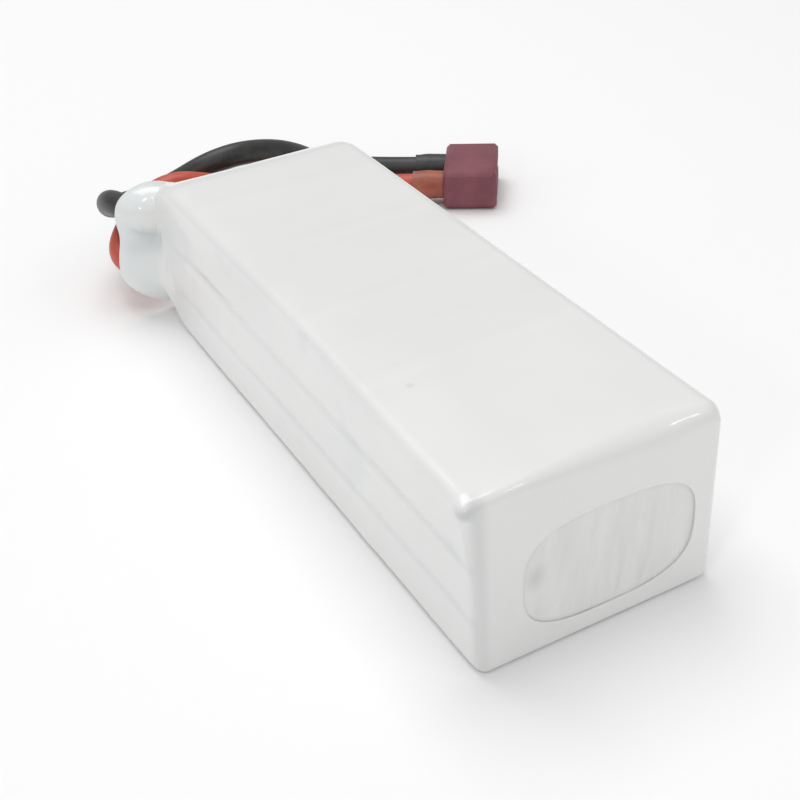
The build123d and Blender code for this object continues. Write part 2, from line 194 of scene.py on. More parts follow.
class Finish:
    """A material under construction: its node tree, its shader and its object coordinates."""

    def __init__(self, name):
        self.material = bpy.data.materials.new(name)
        self.material.use_nodes = True
        self.tree = self.material.node_tree
        self.tree.nodes.clear()
        self.shader = self.node("ShaderNodeBsdfPrincipled")
        self.node("ShaderNodeOutputMaterial", {}, {"Surface": self.shader.socket("BSDF")})
        self.place = self.node("ShaderNodeTexCoord").socket("Object")
        parts = self.node("ShaderNodeSeparateXYZ", {}, {"Vector": self.place})
        self.x, self.y, self.z = (parts.value(axis) for axis in "XYZ")

    def node(self, kind, settings=None, inputs=None):
        made = self.tree.nodes.new(kind)
        for setting, value in (settings or {}).items():
            setattr(made, setting, value)
        for name, value in (inputs or {}).items():
            self.feed(made, name, value)
        return Made(self, made)

    def feed(self, node, name, value):
        target = next(socket for socket in node.inputs if name in (socket.identifier, socket.name))
        if isinstance(value, Value):
            self.tree.links.new(value.socket, target)
        elif isinstance(value, bpy.types.NodeSocket):
            self.tree.links.new(value, target)
        else:
            target.default_value = value

    def set(self, **values):
        """Shader sockets by name, an underscore for each space."""
        for name, value in values.items():
            self.feed(self.shader.node, name.replace("_", " "), value)

    def stretched(self, x, y, z):
        """The object's coordinates, scaled on each axis so that noise on them runs in streaks."""
        inputs = {"Vector": self.place, "Vector_001": (x, y, z)}
        return self.node("ShaderNodeVectorMath", {"operation": "MULTIPLY"}, inputs).socket()

    def noise(self, size, detail=3.0, roughness=0.5, distortion=0.0, place=None):
        """Soft noise from 0 to 1, its blotches about that size in metres."""
        inputs = {
            "Vector": place or self.place,
            "Scale": 1.0 / size,
            "Detail": detail,
            "Roughness": roughness,
            "Distortion": distortion,
        }
        return self.node("ShaderNodeTexNoise", {}, inputs).value("Fac")

    def cells(self, size):
        """The distance to the nearest of many scattered points, about that many metres apart."""
        inputs = {"Vector": self.place, "Scale": 1.0 / size}
        return self.node("ShaderNodeTexVoronoi", {}, inputs).value("Distance")

    def patch(self, **spans):
        """1 at a place, fading to 0 round it: for each axis its centre and its reach, in millimetres."""
        axes = {"x": self.x, "y": self.y, "z": self.z}
        share = 1.0
        for axis, (centre, reach) in spans.items():
            share = share * axes[axis].near(centre * MM, reach * MM)
        return share

    def blend(self, share, first, second):
        """A colour from first to second as the share goes from 0 to 1."""
        inputs = {"Factor_Float": share, "A_Color": colour(first), "B_Color": colour(second)}
        return self.node("ShaderNodeMix", {"data_type": "RGBA"}, inputs).socket("Result_Color")

    def raise_surface(self, height, depth, strength):
        """Relief: the height from 0 to 1, over that depth in metres."""
        inputs = {"Height": height, "Distance": depth, "Strength": strength}
        self.set(Normal=self.node("ShaderNodeBump", {}, inputs).socket("Normal"))


def colour(value):
    return value if isinstance(value, bpy.types.NodeSocket) else (*value, 1.0)


def paint(piece, finish):
    piece.data.materials.clear()
    piece.data.materials.append(finish.material)


# --- Finishes -----------------------------------------------------------------------------------

# Places that the finishes share with the shapes, in millimetres, where the finishes paint shade: the
# heights of the gaps between the cells, and the x and z of the dent in the end tape
GROOVE_HEIGHTS = (8.3, 16.9)
TAPE_DENT = (-9.4, 12.0)


def finish_white_shrink():
    """Thin white PVC film: glossy and faintly mottled, with the gaps between the cells showing through as
    painted shade, and painted shade in the pinched corner and under the knob.
    """
    finish = Finish("white_shrink")
    mottle = finish.noise(22 * MM, 2.0)
    grain = finish.noise(3 * MM, 4.0, 0.6)
    streaks = finish.noise(1.6 * MM, 3.0, 0.55, place=finish.stretched(1.0, 0.16, 1.0))
    along = finish.noise(9 * MM, 2.0, place=finish.stretched(0.2, 1.0, 0.2))
    on_block = 1.0 - finish.y.step(44 * MM, 50 * MM)
    on_side = finish.x.absolute().step(17.3 * MM, 17.9 * MM) * on_block
    on_boot = finish.y.step(52 * MM, 55 * MM)
    lower_gap, upper_gap = (finish.z.near(height * MM, 1.3 * MM) for height in GROOVE_HEIGHTS)
    # Painted shade: the film is darkened along the grooves between the cells
    groove_shade = lower_gap.most(upper_gap) * on_side
    smudge = finish.noise(11 * MM, 2.0, 0.4).step(0.58, 0.75) * on_side
    print_shade = finish.patch(y=(-46.5, 3.5), z=(17.5, 2.5)) * on_side
    bridged = finish.patch(x=(-17.5, 1.9), y=(-50.9, 2.4))
    # Painted shade in the pinched top left corner of the plain end
    pinch_shade = finish.patch(x=(-18.9, 1.6), z=(25.6, 1.2), y=(-50.3, 1.8))
    # Painted shade in the hollow under the knob, between the two leads
    under_knob_shade = finish.patch(z=(16.4, 4.0), y=(54.4, 3.0))
    specks = finish.cells(14 * MM).step(0.05, 0.025)
    tone = finish.blend(mottle.step(0.3, 0.7), (0.785, 0.795, 0.782), (0.82, 0.825, 0.812))
    for share, shade in (
        (grain.step(0.55, 0.8) * 0.2, (0.75, 0.77, 0.765)),
        (groove_shade * (0.15 + along * 0.35), (0.60, 0.62, 0.615)),
        ((smudge * 0.35).most(print_shade * 0.6), (0.62, 0.64, 0.70)),
        (bridged * 0.5, (0.56, 0.575, 0.565)),
        (pinch_shade * 0.6, (0.36, 0.37, 0.365)),
        (on_boot * (0.6 + mottle * 0.4), (0.765, 0.79, 0.795)),
        (under_knob_shade * 0.6, (0.52, 0.565, 0.58)),
        (specks * 0.3, (0.52, 0.52, 0.50)),
    ):
        tone = finish.blend(share, tone, shade)
    finish.raise_surface(grain * 0.35 + streaks * 0.65, 0.06 * MM, 0.35)
    finish.set(Base_Color=tone, Roughness=0.26 + grain * 0.16, Coat_Weight=0.8, Coat_Roughness=0.06)
    return finish


def finish_clear_tape():
    """Hazy white tape, drawn into near-upright wrinkles, with painted shade in its dent."""
    finish = Finish("clear_tape")
    leaned = {"Vector": finish.place, "Rotation": (0.0, radians(-12), 0.0), "Scale": (1.0, 1.0, 0.13)}
    leaning = finish.node("ShaderNodeMapping", {}, leaned).socket()
    streaks = finish.noise(3.0 * MM, 2.0, 0.5, 0.3, leaning)
    threads = finish.noise(0.5 * MM, 2.0, 0.5, 0.2, leaning)
    haze = finish.noise(7 * MM, 2.0)
    tone = finish.blend(streaks.step(0.35, 0.65), (0.75, 0.755, 0.745), (0.80, 0.80, 0.79))
    tone = finish.blend(haze.step(0.5, 0.8) * 0.3, tone, (0.70, 0.71, 0.70))
    # Painted shade: the tape is darkened in its dent
    dent = finish.patch(x=(TAPE_DENT[0], 2.4), z=(TAPE_DENT[1], 2.6))
    tone = finish.blend(dent * 0.5, tone, (0.56, 0.565, 0.555))
    finish.raise_surface(streaks * 0.7 + threads * 0.3, 0.15 * MM, 0.5)
    finish.set(Base_Color=tone, Roughness=0.28 + streaks * 0.2, Coat_Weight=0.3, Coat_Roughness=0.15)
    return finish


def finish_silicone(name, dark, light):
    """Soft silicone rubber with a little dust on it."""
    finish = Finish(name)
    dust = finish.noise(2.2 * MM, 4.0, 0.65)
    grain = finish.noise(0.35 * MM, 2.0)
    tone = finish.blend(dust.step(0.35, 0.75), dark, light)
    finish.raise_surface(grain, 0.03 * MM, 0.3)
    finish.set(Base_Color=tone, Roughness=0.33 + dust * 0.16, Specular_IOR_Level=0.5)
    return finish


def finish_tubing(name, dark, light):
    """Shrink tubing: harder and shinier than the lead, with faint rings where it drew tight."""
    finish = Finish(name)
    cloud = finish.noise(3.5 * MM, 3.0)
    rings = finish.noise(0.9 * MM, 2.0, 0.5, 0.2)
    tone = finish.blend(cloud.step(0.3, 0.7), dark, light)
    finish.raise_surface(rings, 0.05 * MM, 0.4)
    finish.set(Base_Color=tone, Roughness=0.34 + cloud * 0.14)
    return finish


def finish_plug_nylon():
    """Moulded nylon with glass in it: dull, and finely pitted."""
    finish = Finish("plug_nylon")
    pits = finish.noise(0.45 * MM, 3.0, 0.6)
    cloud = finish.noise(5 * MM, 3.0)
    tone = finish.blend(cloud.step(0.3, 0.7), (0.180, 0.046, 0.064), (0.225, 0.064, 0.082))
    tone = finish.blend(pits.step(0.55, 0.8) * 0.5, tone, (0.32, 0.13, 0.15))
    finish.raise_surface(pits, 0.05 * MM, 0.35)
    finish.set(Base_Color=tone, Roughness=0.46 + pits * 0.16)
    return finish


def finish_metal(name, dark, light, roughness):
    """Bare or plated metal, cloudy and finely scratched."""
    finish = Finish(name)
    cloud = finish.noise(2.5 * MM, 4.0, 0.6)
    scratches = finish.noise(0.5 * MM, 2.0, place=finish.stretched(1.0, 0.08, 1.0))
    tone = finish.blend(cloud.step(0.3, 0.7), dark, light)
    finish.raise_surface(scratches, 0.01 * MM, 0.3)
    finish.set(Base_Color=tone, Metallic=1.0, Roughness=roughness + cloud * 0.15)
    return finish


def finish_foam():
    """Open-celled foam: matt, and pitted all over."""
    finish = Finish("white_foam")
    holes = finish.cells(0.5 * MM)
    cloud = finish.noise(4 * MM, 2.0)
    tone = finish.blend(holes.step(0.1, 0.6), (0.52, 0.52, 0.50), (0.74, 0.74, 0.71))
    tone = finish.blend(cloud * 0.3, tone, (0.62, 0.61, 0.57))
    finish.raise_surface(holes, 0.2 * MM, 0.6)
    finish.set(Base_Color=tone, Roughness=0.85)
    return finish


def finish_board():
    """Green lacquer over the weave of the board."""
    finish = Finish("circuit_board")
    turns_per_thread = 2 * pi / (0.9 * MM)
    weave = (finish.x * turns_per_thread).sine() * (finish.z * turns_per_thread).sine() * 0.5 + 0.5
    cloud = finish.noise(4 * MM, 2.0)
    tone = finish.blend(weave, (0.018, 0.10, 0.04), (0.03, 0.15, 0.06))
    tone = finish.blend(cloud * 0.3, tone, (0.04, 0.12, 0.07))
    finish.raise_surface(weave, 0.03 * MM, 0.3)
    finish.set(Base_Color=tone, Roughness=0.28 + cloud * 0.1)
    return finish


def finish_sheet(name, dark, light, roughness, grain_size=0.8 * MM):
    """Fish paper, bonding film or adhesive: matt and fibrous."""
    finish = Finish(name)
    fibres = finish.noise(grain_size, 4.0, 0.65, 0.6)
    tone = finish.blend(fibres.step(0.3, 0.7), dark, light)
    finish.raise_surface(fibres, 0.04 * MM, 0.4)
    finish.set(Base_Color=tone, Roughness=roughness + fibres * 0.1)
    return finish


white_shrink = finish_white_shrink()
clear_tape = finish_clear_tape()
red_silicone = finish_silicone("red_silicone", (0.50, 0.065, 0.035), (0.56, 0.095, 0.055))
black_silicone = finish_silicone("black_silicone", (0.020, 0.021, 0.020), (0.036, 0.038, 0.036))
red_tubing = finish_tubing("red_tubing", (0.30, 0.07, 0.04), (0.40, 0.11, 0.06))
black_tubing = finish_tubing("black_tubing", (0.018, 0.020, 0.020), (0.032, 0.036, 0.036))
plug_nylon = finish_plug_nylon()

FINISHES = {
    "white_shrink": white_shrink,
    "clear_tape": clear_tape,
    "white_foam": finish_foam(),
    "pouch_foil": finish_metal("pouch_foil", (0.58, 0.60, 0.62), (0.68, 0.69, 0.70), 0.34),
    "aluminium_tab": finish_metal("aluminium_tab", (0.66, 0.67, 0.68), (0.76, 0.77, 0.78), 0.28),
    "nickel_tab": finish_metal("nickel_tab", (0.50, 0.49, 0.46), (0.60, 0.58, 0.54), 0.30),
    "tab_film": finish_sheet("tab_film", (0.50, 0.48, 0.40), (0.62, 0.60, 0.52), 0.4),
    "adhesive": finish_sheet("adhesive", (0.62, 0.60, 0.52), (0.72, 0.70, 0.62), 0.5),
    "fish_paper": finish_sheet("fish_paper", (0.12, 0.16, 0.13), (0.18, 0.23, 0.19), 0.75, 0.5 * MM),
    "circuit_board": finish_board(),
    "solder": finish_metal("solder", (0.48, 0.48, 0.47), (0.64, 0.64, 0.62), 0.22),
    "copper_strands": finish_metal("copper_strands", (0.52, 0.46, 0.40), (0.70, 0.62, 0.54), 0.35),
    "red_silicone": red_silicone,
    "black_silicone": black_silicone,
    "plug_nylon": plug_nylon,
    "gold_plate": finish_metal("gold_plate", (0.72, 0.48, 0.16), (0.84, 0.60, 0.24), 0.22),
    "red_shrink": red_tubing,
    "black_shrink": black_tubing,
}

# --- Leads --------------------------------------------------------------------------------------

LEAD_DIAMETER = 0.0045
# Control points in metres, from the connection board to the connector
RED_POINTS = (
    (-0.0020, 0.05492, 0.00918),
    (-0.0140, 0.0549, 0.0092),
    (-0.0200, 0.0578, 0.0084),
    (-0.0229, 0.0656, 0.0084),
    (-0.0178, 0.0720, 0.0116),
    (-0.0102, 0.0714, 0.0176),
    (0.0005, 0.0706, 0.0142),
    (0.0130, 0.0736, 0.0082),
    (0.0245, 0.0772, 0.0038),
    (0.03478, 0.07393, 0.0039),
    (0.04226, 0.06892, 0.0039),
)
BLACK_POINTS = (
    (-0.0020, 0.05492, 0.01808),
    (-0.0132, 0.0549, 0.0181),
    (-0.0188, 0.0586, 0.0180),
    (-0.0220, 0.0680, 0.0186),
    (-0.0192, 0.0790, 0.0116),
    (-0.0085, 0.0810, 0.0112),
    (0.0030, 0.0756, 0.0180),
    (0.0165, 0.0784, 0.0150),
    (0.0285, 0.0856, 0.0056),
    (0.03945, 0.08091, 0.0039),
    (0.04693, 0.07590, 0.0039),
)


def lay_lead(name, points, finish):
    """A round lead along a soft curve that starts and ends at its first and last points."""
    curve = bpy.data.curves.new(name, "CURVE")
    curve.dimensions = "3D"
    curve.bevel_depth = LEAD_DIAMETER / 2
    curve.bevel_resolution = 10
    curve.resolution_u = 16
    curve.use_fill_caps = True
    spline = curve.splines.new("NURBS")
    spline.points.add(len(points) - 1)
    for control, place in zip(spline.points, points):
        control.co = (*place, 1.0)
    spline.order_u = 3
    spline.use_endpoint_u = True
    lead = bpy.data.objects.new(name, curve)
    bpy.context.scene.collection.objects.link(lead)
    curve.materials.append(finish.material)
    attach(lead, "root")
    return lead


red_lead = lay_lead("red_lead_visual", RED_POINTS, red_silicone)
black_lead = lay_lead("black_lead_visual", BLACK_POINTS, black_silicone)
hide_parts("red_lead")
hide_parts("black_lead")

# --- Heat-shrink sleeve -------------------------------------------------------------------------

# Millimetres. The block's end and the sleeve's outside come from the CAD sleeve's box.
sleeve_low, sleeve_high = (np.array(corner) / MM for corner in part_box("heatshrink_sleeve"))
PLAIN_END = sleeve_low[1]
HALF_WIDTH = sleeve_high[0]
HEIGHT = sleeve_high[2]
BLOCK_END = -PLAIN_END
WALL = 0.3

# The opening in the plain end: its left, right, bottom and top, how square it is, and its raised lip
OPENING = (-11.5, 14.15, 3.25, 19.4)
OPENING_FULLNESS = 3.0
LIP_RISE = 0.08
LIP_MIDDLE = 0.4
LIP_WIDTH = 0.45
# Roundings of the plain end, on its left, right, bottom and top edges
END_EDGES = (1.3, 1.8, 1.0, 1.3)
# How much rounder its top edge grows right of the middle, before it sharpens again towards the corner
TOP_EDGE_GROWTH = 2.2
# Roundings of the long edges, on the block and on the boot: bottom left, bottom right, top right, top left
LONG_EDGES = (1.6, 1.8, 2.4, 1.5)
BOOT_EDGES = (8.2, 4.2, 4.5, 4.6)

# The boot, by distance past the block's end: left, right, bottom and top of the film
BOOT_STATIONS = (
    (-4.5, -HALF_WIDTH, HALF_WIDTH, 0.0, HEIGHT),
    (-2.2, -HALF_WIDTH, HALF_WIDTH - 0.15, 0.1, HEIGHT - 0.35),
    (0.0, -HALF_WIDTH, HALF_WIDTH - 0.5, 0.4, HEIGHT - 1.1),
    (1.7, -HALF_WIDTH, HALF_WIDTH - 1.1, 0.8, HEIGHT - 1.9),
    (2.6, -HALF_WIDTH, HALF_WIDTH - 1.6, 1.0, HEIGHT - 2.4),
    (3.4, -HALF_WIDTH - 1.0, HALF_WIDTH - 2.2, 1.1, HEIGHT - 2.9),
    (4.4, -HALF_WIDTH - 2.9, HALF_WIDTH - 2.8, 1.2, HEIGHT - 3.7),
    (5.6, -HALF_WIDTH - 4.8, HALF_WIDTH - 3.3, 1.3, HEIGHT - 4.6),
    (7.0, -HALF_WIDTH - 5.9, HALF_WIDTH - 3.8, 1.4, HEIGHT - 5.4),
)
# How far the film rises over the upper lead, left of the boot's top
BOOT_LIFT = 1.4
# How far the film is pulled in between the leads, and up under the lower one
BOOT_HOLLOW = 1.7
BOOT_TUCK = 1.9
# How much further out the lower bulge stands at each distance past the block's end
LOWER_BULGE = ((-1.5, 0.0), (0.5, 0.35), (2.4, 1.1), (4.0, 1.0), (5.6, 1.1), (7.0, 1.0))
# The knob over the upper lead's bend: its middle, with y from the block's end, its half sizes, and how
# softly it blends into the film
KNOB_MIDDLE = (-17.5, 6.2, 20.1)
KNOB_SIZE = (5.4, 4.7, 4.2)
KNOB_BLEND = 0.26

# The gaps between the cells: how deep they are on average, how much that varies, and how wide they are
GROOVE_DEPTH = 0.22
GROOVE_VARIATION = 0.08
GROOVE_WIDTH = 0.9
# The tape bands under the film, by where they start and stop, how far they raise it on the top and at the
# side, and the ridges at their edges
BAND_SPANS = ((-22.965, -2.465), (17.035, 37.535))
BAND_RISE = 0.05
RIDGE_RISE = 0.1
BAND_SIDE_RISE = 0.04
# How far the long top left edge leans out towards the plain end, and the ear that ends it
EDGE_LEAN = 1.25
EAR_SIZE = 0.7
# How much flatter that edge grows towards the boot
EDGE_SOFTENING = 0.45
# Where the film puckers at the plain end's corners: x, z, depth and size
CORNER_PINCHES = (
    (-18.6, 25.7, 0.6, 0.75),
    (17.4, 25.8, 0.2, 1.0),
    (-17.5, 1.0, 0.2, 0.9),
    (17.4, 1.0, 0.2, 0.9),
)
# How far the film wavers on the block, how much more on the boot, how far on the plain end, and how ragged
# the boot's rim is
BLOCK_WAVER = 0.035
BOOT_WAVER = 0.11
FACE_WAVER = 0.05
RAGGED_RIM = 0.45

# The film's mesh: points round each ring, rings on the plain end by their share of the way from the opening
# to the edge, rings on that edge, and then the distance between rings on the block, the boot and the knob
SIDES = 288
FACE_RINGS = (0.0, 0.012, 0.03, 0.055, 0.09, 0.13, 0.18, 0.25, 0.33, 0.42, 0.52, 0.63, 0.75, 0.88)
EDGE_RINGS = 7
BODY_STEP = 1.3
BOOT_STEP = 0.4
KNOB_START = 0.6
KNOB_STEP = 0.18


def outline(left, right, bottom, top, corners):
    """Points round a rectangle with rounded corners, evenly spaced, from the middle of its bottom edge."""
    centres = (
        (left + corners[0], bottom + corners[0], corners[0], 270),
        (left + corners[3], top - corners[3], corners[3], 180),
        (right - corners[2], top - corners[2], corners[2], 90),
        (right - corners[1], bottom + corners[1], corners[1], 0),
    )
    middle = ((left + right) / 2, bottom)
    walk = [middle]
    for centre_x, centre_z, radius, start in centres:
        for turn in np.linspace(0, 90, 25):
            angle = radians(start - turn)
            walk.append((centre_x + radius * cos(angle), centre_z + radius * sin(angle)))
    walk.append(middle)
    return evenly(np.array(walk))


def evenly(walk):
    """The closed walk's points again, evenly spaced along it."""
    travelled = np.concatenate(([0.0], np.cumsum(np.linalg.norm(np.diff(walk, axis=0), axis=1))))
    wanted = np.linspace(0.0, travelled[-1], SIDES, endpoint=False)
    return np.column_stack([np.interp(wanted, travelled, walk[:, axis]) for axis in (0, 1)])


def bowed_oval(left, right, bottom, top, fullness):
    """An oval whose sides bow: a fullness of 2 is an ellipse, and a larger one is squarer."""
    turn = np.linspace(-pi / 2, -5 * pi / 2, 721)
    x = np.sign(np.cos(turn)) * np.abs(np.cos(turn)) ** (2 / fullness)
    z = np.sign(np.sin(turn)) * np.abs(np.sin(turn)) ** (2 / fullness)
    across = (left + right + (right - left) * x) / 2
    upward = (bottom + top + (top - bottom) * z) / 2
    return evenly(np.column_stack((across, upward)))


def outward(points):
    """The outward directions along a closed walk."""
    along = np.roll(points, -1, axis=0) - np.roll(points, 1, axis=0)
    normal = np.column_stack((-along[:, 1], along[:, 0]))
    return normal / np.linalg.norm(normal, axis=1)[:, None]


def boot_size(distance, column):
    """A softened reading of the boot's table."""
    table = np.array(BOOT_STATIONS)
    spread = np.linspace(-0.45, 0.45, 7)
    return np.mean([np.interp(distance + shift, table[:, 0], table[:, column]) for shift in spread])


def sleeve_rings():
    """The film's rings, from the lip of the opening at the plain end to the rim of the boot."""
    rings = []
    block = outline(-HALF_WIDTH, HALF_WIDTH, 0.0, HEIGHT, LONG_EDGES)
    normal = outward(block)
    squares = normal**2
    grown = smooth_step(block[:, 0], -15.0, 8.0)
    sharpened = smooth_step(block[:, 0], 9.0, HALF_WIDTH - LONG_EDGES[2])
    top_edge = END_EDGES[3] + TOP_EDGE_GROWTH * (grown - 0.5 * sharpened)
    edge = (
        squares[:, 0] * np.where(normal[:, 0] < 0, END_EDGES[0], END_EDGES[1])
        + squares[:, 1] * np.where(normal[:, 1] < 0, END_EDGES[2], top_edge)
    )
    lip = bowed_oval(*OPENING, OPENING_FULLNESS)
    face_rim = block - normal * edge[:, None]
    width = np.linalg.norm(face_rim - lip, axis=1)
    for share in FACE_RINGS:
        places = lip * (1 - share) + face_rim * share
        raised = LIP_RISE * bump(width * share - LIP_MIDDLE, LIP_WIDTH)
        rings.append(np.column_stack((places[:, 0], PLAIN_END - raised, places[:, 1])))
    for step in range(EDGE_RINGS):
        angle = pi / 2 * step / EDGE_RINGS
        places = block - normal * (edge * (1 - sin(angle)))[:, None]
        rings.append(np.column_stack((places[:, 0], PLAIN_END + edge * (1 - cos(angle)), places[:, 1])))
    first, last = BOOT_STATIONS[0][0], BOOT_STATIONS[-1][0]
    boot_start = BLOCK_END + first
    body_start = PLAIN_END + edge
    for share in np.linspace(0.0, 1.0, round((boot_start - PLAIN_END) / BODY_STEP), endpoint=False):
        along = body_start + (boot_start - body_start) * share
        rings.append(np.column_stack((block[:, 0], along, block[:, 1])))
    before_knob = np.arange(first, KNOB_START, BOOT_STEP)
    over_knob = np.arange(KNOB_START, last, KNOB_STEP)
    for distance in np.concatenate((before_knob, over_knob)):
        share = smooth_step(distance, 0.0, 4.0)
        corners = [small + (large - small) * share for small, large in zip(LONG_EDGES, BOOT_EDGES)]
        left, right, bottom, top = (boot_size(distance, column) for column in (1, 2, 3, 4))
        places = outline(left, right, bottom, top, corners)
        rings.append(np.column_stack((places[:, 0], np.full(SIDES, BLOCK_END + distance), places[:, 1])))
    return np.array(rings)


def press_block(moved, x, y, z):
    """Pulls the film into the gaps between the cells, and lays it over the tape bands."""
    past = y - BLOCK_END
    on_body = smooth_step(y, PLAIN_END + 2, PLAIN_END + 7) * (1 - smooth_step(past, -6.0, -2.0))
    side = smooth_step(np.abs(x), HALF_WIDTH - 0.6, HALF_WIDTH - 0.1)
    clear_of_boot = 1 - smooth_step(past, -22.0, -4.0)
    for height in GROOVE_HEIGHTS:
        depth = (GROOVE_DEPTH + GROOVE_VARIATION * np.sin(y / 9.0 + height)) * clear_of_boot
        moved[:, 0] -= np.sign(x) * depth * bump(z - height, GROOVE_WIDTH) * side * on_body

    over = smooth_step(z, HEIGHT - 0.5, HEIGHT - 0.05) * on_body
    for start, stop in BAND_SPANS:
        plateau = smooth_step(y, start - 0.4, start + 0.4) * (1 - smooth_step(y, stop - 0.4, stop + 0.4))
        ridges = bump(y - start - 0.5, 0.7) + bump(y - stop + 0.5, 0.7)
        moved[:, 2] += over * (BAND_RISE * plateau + RIDGE_RISE * ridges)
        moved[:, 0] += np.sign(x) * side * on_body * BAND_SIDE_RISE * plateau
    slanted_ridge = bump(y + 14.1 + 0.05 * x, 0.9)
    moved[:, 2] += over * BAND_RISE * slanted_ridge


def shape_boot(moved, x, y, z):
    """Draws the film round the two leads' bends, and in and up between and below them."""
    past = y - BLOCK_END
    left = smooth_step(-x, HALF_WIDTH - 1.5, HALF_WIDTH - 0.2)
    lower = np.interp(past, *np.transpose(LOWER_BULGE)) * bump(z - 9.4, 5.0)
    hollow = bump(past - 4.6, 1.7) * bump(z - 15.8, 2.2)
    moved[:, 0] += left * (BOOT_HOLLOW * hollow - lower)
    tuck = bump(past - 1.2, 2.2) * smooth_step(-x, 12.0, 17.5) * (1 - smooth_step(z, 1.0, 4.5))
    moved[:, 2] += BOOT_TUCK * tuck
    lift = smooth_step(past, 2.0, 7.0) * smooth_step(-x, 6.0, 17.0) * smooth_step(z, 14.0, 22.0)
    moved[:, 2] += BOOT_LIFT * lift


def swell_knob(places):
    """Pushes the film out of the knob's ellipsoid, with a soft join round it."""
    middle = np.array(KNOB_MIDDLE) + (0.0, BLOCK_END, 0.0)
    reach = np.linalg.norm((places - middle) / KNOB_SIZE, axis=1)
    swollen = (reach + 1 + np.sqrt((reach - 1) ** 2 + KNOB_BLEND**2)) / 2
    return middle + (places - middle) * (swollen / reach)[:, None]


def shape_edge(moved, x, y, z):
    """Flattens the long top left edge towards the boot, and leans it out towards the plain end."""
    from_edge = np.hypot(x + HALF_WIDTH, z - HEIGHT)
    soft_edge = EDGE_SOFTENING * bump(from_edge, 2.4) * smooth_step(y, -25.0, 40.0)
    before_boot = 1 - smooth_step(y - BLOCK_END, -1.0, 2.0)
    moved[:, 0] += soft_edge * before_boot
    moved[:, 2] -= soft_edge * before_boot

    near_end = 1 - smooth_step(y, PLAIN_END, 5.0)
    lean = EDGE_LEAN * near_end * smooth_step(z, 12.0, HEIGHT - 1.0) * smooth_step(-x, 8.0, HALF_WIDTH)
    from_corner = np.hypot(np.hypot(x + HALF_WIDTH, y - PLAIN_END), z - HEIGHT + 0.6)
    ear = EAR_SIZE * bump(from_corner, 2.6)
    moved[:, 0] -= lean + ear
    moved[:, 2] -= 0.25 * lean + 0.1 * ear


def pinch_corners(moved, x, y, z):
    for corner_x, corner_z, depth, size in CORNER_PINCHES:
        away = np.sqrt((x - corner_x) ** 2 + (y - PLAIN_END - 0.6) ** 2 + (z - corner_z) ** 2)
        toward = np.array((-np.sign(corner_x), 0.8, -1.0 if corner_z > HEIGHT / 2 else 1.0)) / 1.6
        moved += (depth * bump(away, size))[:, None] * toward


def press_details(places):
    """The plain rings' places, moved to where the shrunk film lies."""
    x, y, z = places.T
    moved = places.copy()
    press_block(moved, x, y, z)
    shape_boot(moved, x, y, z)
    moved = swell_knob(moved)
    shape_edge(moved, x, y, z)
    pinch_corners(moved, x, y, z)
    return moved


def waver(places):
    """The film's slight unevenness, as soft noise along its rough outward direction."""
    centre = np.array((0.0, 0.0, HEIGHT / 2))
    moved = places.copy()
    for index, place in enumerate(places):
        past = place[1] - BLOCK_END
        loose = BLOCK_WAVER + BOOT_WAVER * float(smooth_step(past, 0.0, 5.0))
        spot = Vector(place)
        swell = noise.noise(spot / 9.0) + 0.5 * noise.noise(spot / 3.6 + Vector((7.0, 3.0, 1.0)))
        side_way = abs(place[0]) / HALF_WIDTH > abs(place[2] - centre[2]) / (HEIGHT / 2)
        axis = 0 if side_way else 2
        moved[index, axis] += np.sign(place[axis] - centre[axis]) * loose * swell
        if place[1] < PLAIN_END + 1.0:
            moved[index, 1] += FACE_WAVER * swell
        moved[index, 1] += RAGGED_RIM * float(smooth_step(past, 5.5, 7.0)) * noise.noise(spot / 5.0)
    return moved


def sheet_of_rings(name, rings, closed):
    """A grid primitive whose every row is laid on one ring; a closed one is welded along its seam."""
    if closed:
        rings = np.concatenate((rings, rings[:, :1]), axis=1)
    count, sides = rings.shape[:2]
    deselect_everything()
    bpy.ops.mesh.primitive_grid_add(x_subdivisions=sides - 1, y_subdivisions=count - 1, size=1.0)
    piece = bpy.context.active_object
    piece.name = name
    flat = vertex_places(piece)
    column = np.rint((flat[:, 0] + 0.5) * (sides - 1)).astype(int)
    row = np.rint((flat[:, 1] + 0.5) * (count - 1)).astype(int)
    move_vertices(piece, rings[row, column] * MM)
    bpy.ops.object.mode_set(mode="EDIT")
    bpy.ops.mesh.select_all(action="SELECT")
    bpy.ops.mesh.remove_doubles(threshold=0.001 * MM)
    bpy.ops.mesh.normals_make_consistent(inside=False)
    bpy.ops.object.mode_set(mode="OBJECT")
    return piece


def make_sleeve():
    rings = sleeve_rings()
    places = waver(press_details(rings.reshape(-1, 3)))
    sleeve = sheet_of_rings("shrink_sleeve", places.reshape(rings.shape), closed=True)
    give_wall(sleeve, WALL)
    settle(sleeve, 40)
    paint(sleeve, white_shrink)
    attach(sleeve, "root")
    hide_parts("heatshrink_sleeve")


make_sleeve()

# --- End tape -----------------------------------------------------------------------------------

# Millimetres: the tape's left, right, bottom and top, how far behind the film's outside it lies, and how
# far it swells out in the opening
TAPE_SIZE = (-13.6, 16.2, 1.6, 22.4)
TAPE_DEPTH = 0.36
TAPE_BULGE = 0.14
TAPE_THICKNESS = 0.1
# Its wrinkles: how high they stand, how far apart and how long they are, and how much they lean
WRINKLE_HEIGHT = 0.2
WRINKLE_SPACING = 2.1
WRINKLE_LENGTH = 16.0
WRINKLE_LEAN = 0.22
DENT_DEPTH = 0.25
DENT_SIZE = 1.9
# The distance between its mesh points across, and half of that upwards
TAPE_STEP = 0.2


